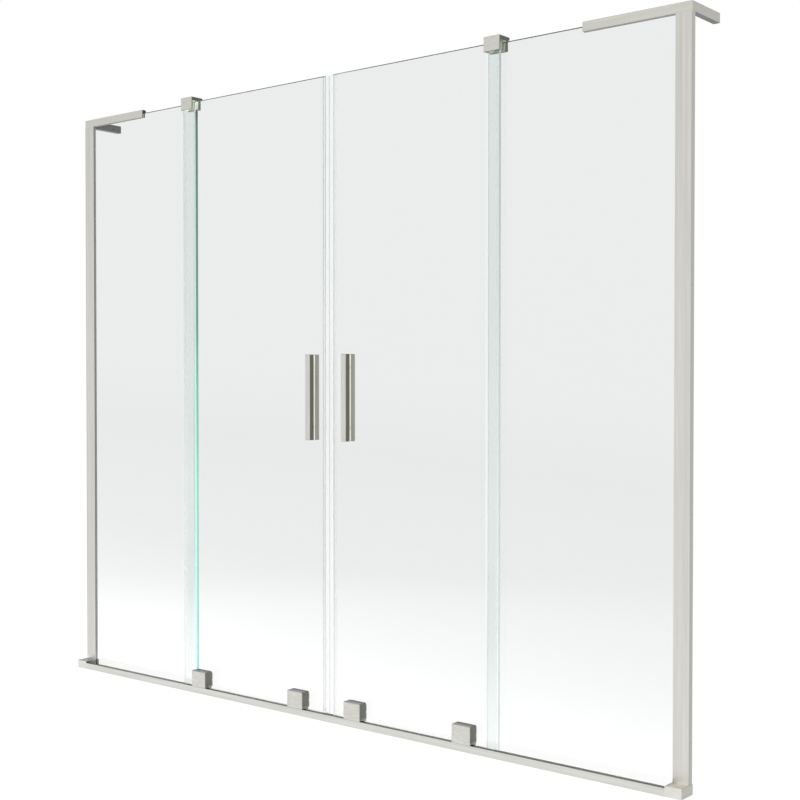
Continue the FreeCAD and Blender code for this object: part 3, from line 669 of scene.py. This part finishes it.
def pane_edges(node, body, edge_sides, line, trimmed_side=None):
    """Ground edges of one pane: a fine dark line of painted shade along its top, and its upright
    edges in tones and glows of painted light.
    """
    low, high = node_box(node)
    front, back = low[1] - arris_skin, high[1] + arris_skin
    foot, head = low[2] + edge_inset, high[2] - arris_depth
    caps = [edge_cap(node + "_top", (low[0] + edge_inset, front, head),
                     (high[0] - edge_inset, back, high[2] + arris_skin), Vector((0, 0, -1)),
                     arris_depth, line)]
    for side, ground in edge_sides:
        near = low[0] if side < 0 else high[0]
        trimmed = side == trimmed_side
        reach = clear_trim if trimmed else arris_skin
        ends = sorted((near - side * side_arris_depth, near + side * reach))
        caps.append(edge_cap(node + "_upright", (ends[0], front, foot), (ends[1], back, head),
                             Vector((-side, 0, 0)), side_arris_depth,
                             edge_trim_clear if trimmed else ground))
        if trimmed:
            plate = block(node + "_face", (near - edge_inset / 2, low[1] + arris_skin, foot),
                          (near + edge_inset / 2, high[1] - arris_skin, head))
            plate.data.materials.append(ground)
            ends = sorted((near + side * reach, near + side * (reach + green_trim)))
            bead = eased_block(node + "_bead", (ends[0], low[1] + bead_inset, foot),
                               (ends[1], high[1] - bead_inset, head), bead_ease)
            bead.data.materials.append(edge_green)
            caps += [plate, bead]
    piece = joined(node + "_edges", caps)
    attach(piece, body)


brushed_grain = brushed_grain_group()
facing_shade = facing_shade_group()
nickel_upright = brushed_nickel(
    "brushed_nickel_upright", upright_grain, profile_front, profile_outer_side, profile_inner_side,
    cap_top, face_stops=(("Front", profile_front_stops), ("Inner side", profile_inner_stops)))
nickel_rail = brushed_nickel("brushed_nickel_rail", rail_grain, rail_front, profile_outer_side,
                             profile_inner_side, rail_top)
nickel_cap = brushed_nickel("brushed_nickel_cap", housing_grain, cap_front, cap_side,
                            cap_inner_side, cap_top, top_shade=cap_top_shade,
                            contrast=housing_contrast)
nickel_bracket = brushed_nickel("brushed_nickel_bracket", bracket_grain, bracket_front,
                                bracket_outer_side, bracket_inner_side, bracket_outer_side)
clip_nickel = brushed_nickel("brushed_nickel_clip", clip_grain, clip_front, clip_side, clip_side,
                             carriage_top)
carriage_nickel = brushed_nickel(
    "brushed_nickel_carriage", housing_grain, carriage_front, carriage_side, carriage_side,
    carriage_top, top_shade=carriage_top_shade, contrast=housing_contrast,
    face_stops=(("Outer side", carriage_side_stops), ("Inner side", carriage_side_stops)))
foot_nickel = brushed_nickel("brushed_nickel_foot", housing_grain, carriage_front,
                             carriage_foot_side, carriage_foot_side, carriage_foot_side,
                             contrast=housing_contrast)
handle_nickel = brushed_nickel("brushed_nickel_handle", handle_grain, handle_front, handle_side,
                               handle_side, handle_side)
rear_bar_nickel = brushed_nickel("brushed_nickel_rear_bar", handle_grain, rear_bar_side,
                                 rear_bar_side, rear_bar_side, rear_bar_side)
fixed_pane_glass = pane_glass("clear_fixed_pane_glass")
door_pane_glass = pane_glass("clear_door_pane_glass", lighter_overlap=True)
# Painted shade: the seals' and trim's cut walls darker than their faces; the edge seals also glow
# as painted light, most near the rail.
seal_material = clear_plastic("clear_seal_plastic", seal_front, (0.82, 0.86, 0.84), seal_cover)
edge_seal_material = clear_plastic("clear_edge_seal_plastic", seal_front, (0.50, 0.54, 0.52),
                                   seal_cover, glow=0.6, glow_stops=edge_seal_glow_stops)
edge_trim_clear = clear_plastic("clear_edge_trim", (0.90, 0.97, 0.95), (0.75, 0.90, 0.86),
                                seal_cover)
# Painted light and shade in the clips: the left liner pale and glowing brightly, the right one
# darker.
liner_left = clear_plastic("clear_liner_left", (0.62, 0.67, 0.58), (0.80, 0.90, 0.72),
                           liner_cover, glow=0.55)
liner_right = clear_plastic("clear_liner_right", (0.50, 0.56, 0.45), (0.40, 0.46, 0.36),
                            liner_cover, glow=0.3)
lip_material = ground_edge("clear_seal_lip", lip_stops, cover=lip_cover)
# Painted light: the magnets glow.
magnet_material = ground_edge("pale_magnet_strip", magnet_stops, glow=0.45)
# Painted light and shade: the ground edges glow, each kind by its own amount.
edge_green = ground_edge("ground_edge_green", green_stops, glow=edge_glow)
edge_cyan = ground_edge("ground_edge_cyan", cyan_stops, glow=pale_edge_glow)
edge_far = ground_edge("ground_edge_far", far_edge_stops, glow=far_edge_glow)
edge_soft = ground_edge("ground_edge_soft", soft_edge_stops, glow=soft_edge_glow)
edge_meeting_left = ground_edge("ground_edge_meeting_left", meeting_left_stops,
                                glow=soft_edge_glow)
edge_meeting_right = ground_edge("ground_edge_meeting_right", meeting_right_stops,
                                 glow=far_edge_glow)
edge_line_dark = ground_edge("ground_edge_line_dark", line_dark_stops)
edge_line_soft = ground_edge("ground_edge_line_soft", line_soft_stops)
aluminium = moulded("plain_aluminium", (0.55, 0.55, 0.54), roughness=0.4, metallic=1.0)
rubber = moulded("grey_rubber", (0.13, 0.135, 0.135), roughness=0.7)
# Painted light: these gaskets, pads, packings and studs glow, and the wall channel glows strongly
# over a dark base, where they would sit in shade; the left packing light, the right one darker.
pale_gasket = moulded("pale_gasket", (0.93, 0.91, 0.86), glow=0.4)
pane_gasket = moulded("grey_pane_gasket", (0.50, 0.50, 0.48), glow=0.3)
bracket_pad = moulded("pale_bracket_pad", (0.40, 0.40, 0.38), glow=0.6)
clip_pad = moulded("pale_clip_pad", (0.38, 0.44, 0.35), glow=0.55)
packing_left = moulded("pale_clip_packing_left", (0.72, 0.88, 0.72), glow=0.6)
packing_right = moulded("pale_clip_packing_right", (0.30, 0.36, 0.28), glow=0.6)
nylon = moulded("white_nylon", (0.72, 0.72, 0.69), roughness=0.5)
pale_steel = moulded("turned_pale_steel", (0.80, 0.80, 0.78), roughness=0.45, glow=0.75)
channel_aluminium = moulded("wall_channel_aluminium", (0.120, 0.117, 0.108), roughness=0.4,
                            glow=2.6, metallic=1.0)
steel = moulded("turned_steel", (0.45, 0.45, 0.44), roughness=0.3, metallic=1.0)
finishes = (
    (("wall_profile",), nickel_upright),
    (("wall_channel",), channel_aluminium),
    (("bottom_rail",), nickel_rail),
    (("rail_end_cap",), nickel_cap),
    (("corner_bracket",), nickel_bracket),
    (("top_guide_clip",), clip_nickel),
    (("carriage",), carriage_nickel),
    (("handle_front_bar",), handle_nickel),
    (("handle_rear_bar",), rear_bar_nickel),
    (("rail_stops",), aluminium),
    (("fixed_glass",), fixed_pane_glass),
    (("door_glass",), door_pane_glass),
    (("edge_seal",), edge_seal_material),
    (("magnetic_seal", "bottom_wiper"), seal_material),
    (("clip_guide_liner_left",), liner_left),
    (("clip_guide_liner_right",), liner_right),
    (("seal_magnet",), magnet_material),
    (("handle_gaskets",), pale_gasket),
    (("glazing_gaskets",), pane_gasket),
    (("bracket_pads",), bracket_pad),
    (("clip_clamp_pads",), clip_pad),
    (("gaskets", "clamp_pads"), rubber),
    (("roller", "guide_feet"), nylon),
    (("handle_studs",), pale_steel),
    (("screws", "axles", "clamp_plates"), steel),
)
dress_nodes()


def clip_packings():
    """Packings in the clips' rear slots above the pads, round the fixed panes' top edges."""
    for hand in ("left", "right"):
        low, high = node_box("top_guide_clip_" + hand)
        pane_low, pane_high = node_box("fixed_glass_" + hand)
        front, back = pane_low[1] - packing_front, pane_high[1] + packing_back
        shelf = pane_high[2] + packing_gap
        strips = [eased_block("packing", (low[0] + packing_end, y0, z0),
                              (high[0] - packing_end, y1, z1), packing_ease)
                  for y0, y1, z0, z1 in (
                      (front, back, shelf, shelf + packing_height),
                      (front, pane_low[1] - packing_gap, shelf - packing_leg, shelf),
                      (pane_high[1] + packing_gap, back, shelf - packing_leg, shelf))]
        packing = joined("clip_packing_" + hand, strips)
        # Painted light: glowing packing, lighter on the left than on the right.
        packing.data.materials.append(packing_left if hand == "left" else packing_right)
        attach(packing, "screen_frame")


def carriage_base_plates():
    """Base plates beside the guide feet, strips over the running bar, skirts behind the panes."""
    for hand in ("left", "right"):
        for place in ("outer", "inner"):
            low, high = node_box(f"{hand}_door_{place}_carriage")
            middle = (low[0] + high[0]) / 2
            plates = [eased_block("plate", (ends[0], base_plate_front, low[2] - base_plate_drop),
                                  (ends[1], high[1] - base_plate_back, low[2]), base_plate_ease)
                      for ends in ((low[0] + base_plate_end, middle - base_plate_foot),
                                   (middle + base_plate_foot, high[0] - base_plate_end))]
            plates.append(eased_block(
                "strip", (low[0] + carriage_corner, low[1] + strip_setback, low[2] - strip_drop),
                (high[0] - carriage_corner, base_strip_back, low[2]), strip_ease))
            base = joined(f"{hand}_{place}_base_plates", plates)
            # Painted light: the strips take the housings' front tone over the dark gap under their
            # fronts, and the plates' sides a lighter beige over the shade there.
            base.data.materials.append(foot_nickel)
            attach(base, hand + "_door")
            skirt = eased_block(f"{hand}_{place}_rear_skirt",
                                (middle - skirt_reach, skirt_front, skirt_low),
                                (middle + skirt_reach, skirt_back, skirt_high), base_plate_ease)
            skirt.data.materials.append(steel)
            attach(skirt, hand + "_door")


def meeting_seal_lip():
    """The rounded lip at the end of the left meeting seal's rear flange."""
    low, high = node_box("left_door_magnetic_seal")
    lip = eased_block("left_meeting_seal_lip", (low[0], high[1] - lip_depth, low[2]),
                      (low[0] + lip_width, high[1] + lip_proud, high[2]), lip_ease)
    lip.data.materials.append(lip_material)
    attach(lip, "left_door")


def stud_way_fillers():
    """Fillers in the handle gaskets' ways for the studs, from each stud out to the edge."""
    for hand, side in (("left", -1), ("right", 1)):
        low, high = node_box(hand + "_door_handle_gaskets")
        stud_low, stud_high = node_box(hand + "_door_handle_studs")
        radius = (stud_high[0] - stud_low[0]) / 2
        near = (stud_low[0] + stud_high[0]) / 2 + side * (radius + filler_gap)
        far = (high[0] if side > 0 else low[0]) - side * filler_gap
        ends = sorted((near, far))
        fillers = [eased_block("filler", (ends[0], y0, z - radius - filler_reach),
                               (ends[1], y1, z + radius + filler_reach), filler_ease)
                   for z in (stud_low[2] + radius, stud_high[2] - radius)
                   for y0, y1 in ((low[1], low[1] + gasket_sheet),
                                  (high[1] - gasket_sheet, high[1]))]
        piece = joined(hand + "_handle_gasket_fillers", fillers)
        # Painted light: pale glowing gasket fills the ways, where they would show as dark notches.
        piece.data.materials.append(pale_gasket)
        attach(piece, hand + "_door")


def screw_head(name, radius, height):
    """A low turned head, made facing up, with an eased rim and a socket for a key."""
    bpy.ops.object.select_all(action="DESELECT")
    bpy.ops.mesh.primitive_cylinder_add(vertices=head_sides, radius=radius, depth=height)
    head = bpy.context.object
    head.name = name
    edit_faces(head, lambda face: face.normal.z > facing_share)
    bpy.ops.mesh.bevel(offset=height * head_ease_share, segments=head_ease_steps, affect="EDGES")
    bpy.ops.object.mode_set(mode="OBJECT")
    bpy.ops.object.select_all(action="DESELECT")
    bpy.ops.mesh.primitive_cylinder_add(vertices=key_sides, radius=radius * head_socket_share,
                                        depth=height,
                                        location=(0.0, 0.0, height * head_floor_share))
    socket = bpy.context.object
    cut = head.modifiers.new("socket", "BOOLEAN")
    cut.object = socket
    cut.operation = "DIFFERENCE"
    pick(head)
    bpy.ops.object.modifier_apply(modifier=cut.name)
    pick(socket)
    bpy.ops.object.delete()
    return head


def screw_row(name, radius, height, places):
    """Like screws on faces that look towards the bath, at (x, face y, z)."""
    heads = []
    for x, y, z in places:
        head = screw_head(name, radius, height)
        pick(head)
        head.rotation_euler = (-math.pi / 2, 0.0, 0.0)
        head.location = (x, y + height / 2 - screw_sink, z)
        bpy.ops.object.transform_apply(location=True, rotation=True, scale=True)
        heads.append(head)
    screws = joined(name, heads)
    pick(screws)
    bpy.ops.object.shade_smooth_by_angle(angle=math.radians(smooth_degrees))
    screws.data.materials.append(steel)
    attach(screws, "screen_frame")


def rear_screws():
    """The small screws on the sides that look towards the bath."""
    for side, hand in ((-1, "left"), (1, "right")):
        low, high = node_box("corner_bracket_" + hand)
        outer = max(abs(low[0]), abs(high[0]))
        screw_row("bracket_grip_screws_" + hand, *bracket_screw,
                  [(side * (outer - back), bracket_arm_back, high[2] - bracket_screw_drop)
                   for back in bracket_screw_places])
        low, high = node_box("top_guide_clip_" + hand)
        middle = (low[0] + high[0]) / 2
        screw_row("clip_grip_screws_" + hand, *clip_screw,
                  [(middle + offset, clip_wall_back, low[2] + clip_screw_rise)
                   for offset in (-clip_screw_offset, clip_screw_offset)])
        low, high = node_box("wall_profile_" + hand)
        heights = (low[2] + cover_screw_margin, (low[2] + high[2]) / 2,
                   high[2] - cover_screw_margin)
        screw_row("profile_cover_screws_" + hand, *cover_screw,
                  [(side * (outer - cover_screw_back), high[1], z) for z in heights])


pane_edges("fixed_glass_left", "screen_frame", ((1, edge_cyan),), edge_line_dark, trimmed_side=1)
pane_edges("fixed_glass_right", "screen_frame", ((-1, edge_far),), edge_line_dark)
pane_edges("left_door_glass", "left_door", ((-1, edge_far), (1, edge_meeting_left)),
           edge_line_soft)
pane_edges("right_door_glass", "right_door", ((-1, edge_meeting_right), (1, edge_soft)),
           edge_line_soft)
rear_screws()
clip_packings()
carriage_base_plates()
meeting_seal_lip()
stud_way_fillers()


def ray_is_seen(tree):
    """1 for what the camera sees, straight, mirrored or through glass."""
    ray = tree.nodes.new("ShaderNodeLightPath").outputs
    mirrored = calculated(tree, "MAXIMUM", ray["Is Camera Ray"], ray["Is Glossy Ray"])
    return calculated(tree, "MAXIMUM", mirrored, ray["Is Transmission Ray"])


def white_surroundings():
    """A plain pale world: white to the camera and in reflections, softer as a light."""
    world = bpy.data.worlds.new("white_surroundings")
    bpy.context.scene.world = world
    world.use_nodes = True
    tree = world.node_tree
    tree.nodes.clear()
    seen = tree.nodes.new("ShaderNodeBackground")
    seen.inputs["Color"].default_value = white
    light = tree.nodes.new("ShaderNodeBackground")
    light.inputs["Color"].default_value = (world_light, world_light, world_light, 1.0)
    mix_shaders(tree, ray_is_seen(tree), light, seen, tree.nodes.new("ShaderNodeOutputWorld"))


def pale_floor():
    """A white floor that keeps the screen's soft shadow and is plain white further out."""
    bpy.ops.object.select_all(action="DESELECT")
    bpy.ops.mesh.primitive_plane_add(size=floor_size, location=(0.0, 0.0, 0.0))
    floor = bpy.context.object
    floor.name = "floor"
    material, tree, surface = plain_material("white_floor", {
        "Base Color": (floor_shade, floor_shade, floor_shade, 1.0), "Roughness": 1.0,
        "Specular IOR Level": 0.0, "Emission Color": white})
    seen = ray_is_seen(tree)
    glow = calculated(tree, "MULTIPLY", seen, floor_glow)
    tree.links.new(glow, surface.inputs["Emission Strength"])
    place = tree.nodes.new("ShaderNodeTexCoord")
    distance = add_node(tree, "ShaderNodeVectorMath", operation="LENGTH")
    tree.links.new(place.outputs["Object"], distance.inputs[0])
    far = ranged(tree, distance.outputs["Value"], floor_near, floor_far,
                 interpolation="SMOOTHSTEP")
    mix_shaders(tree, calculated(tree, "MULTIPLY", far, seen), surface,
                tree.nodes.new("ShaderNodeEmission"), tree.nodes["Material Output"])
    floor.data.materials.append(material)


def soft_lamp(name, place, aim, size, power):
    """A round soft lamp that looks at a point."""
    data = bpy.data.lights.new(name, "AREA")
    data.shape = "DISK"
    data.size = size
    data.energy = power
    lamp = bpy.data.objects.new(name, data)
    bpy.context.scene.collection.objects.link(lamp)
    lamp.location = place
    lamp.rotation_mode = "QUATERNION"
    lamp.rotation_quaternion = (Vector(aim) - Vector(place)).to_track_quat("-Z", "Y")


def camera_as_photographed():
    """The camera at its fitted place, with the photograph's frame."""
    right = Vector((math.cos(camera_yaw), math.sin(camera_yaw), 0.0))
    ahead = Vector((-math.sin(camera_yaw) * math.cos(camera_pitch),
                    math.cos(camera_yaw) * math.cos(camera_pitch), -math.sin(camera_pitch)))
    up = right.cross(ahead)
    turned_right = right * math.cos(camera_roll) + up * math.sin(camera_roll)
    turned_up = up * math.cos(camera_roll) - right * math.sin(camera_roll)
    data = bpy.data.cameras.new("camera")
    data.sensor_width = sensor_width
    data.lens = focal_px * sensor_width / image_width_px
    data.shift_x = (image_width_px / 2 - centre_column_px) / image_width_px
    data.shift_y = (centre_row_px - image_width_px / 2) / image_width_px
    camera = bpy.data.objects.new("camera", data)
    bpy.context.scene.collection.objects.link(camera)
    turn = Matrix((turned_right, turned_up, -ahead)).transposed()
    camera.matrix_world = Matrix.Translation(camera_place) @ turn.to_4x4()
    bpy.context.scene.camera = camera


white_surroundings()
pale_floor()
soft_lamp("key_lamp", lamp_place, lamp_aim, lamp_size, lamp_power)
camera_as_photographed()
bpy.context.scene.view_settings.view_transform = "Standard"
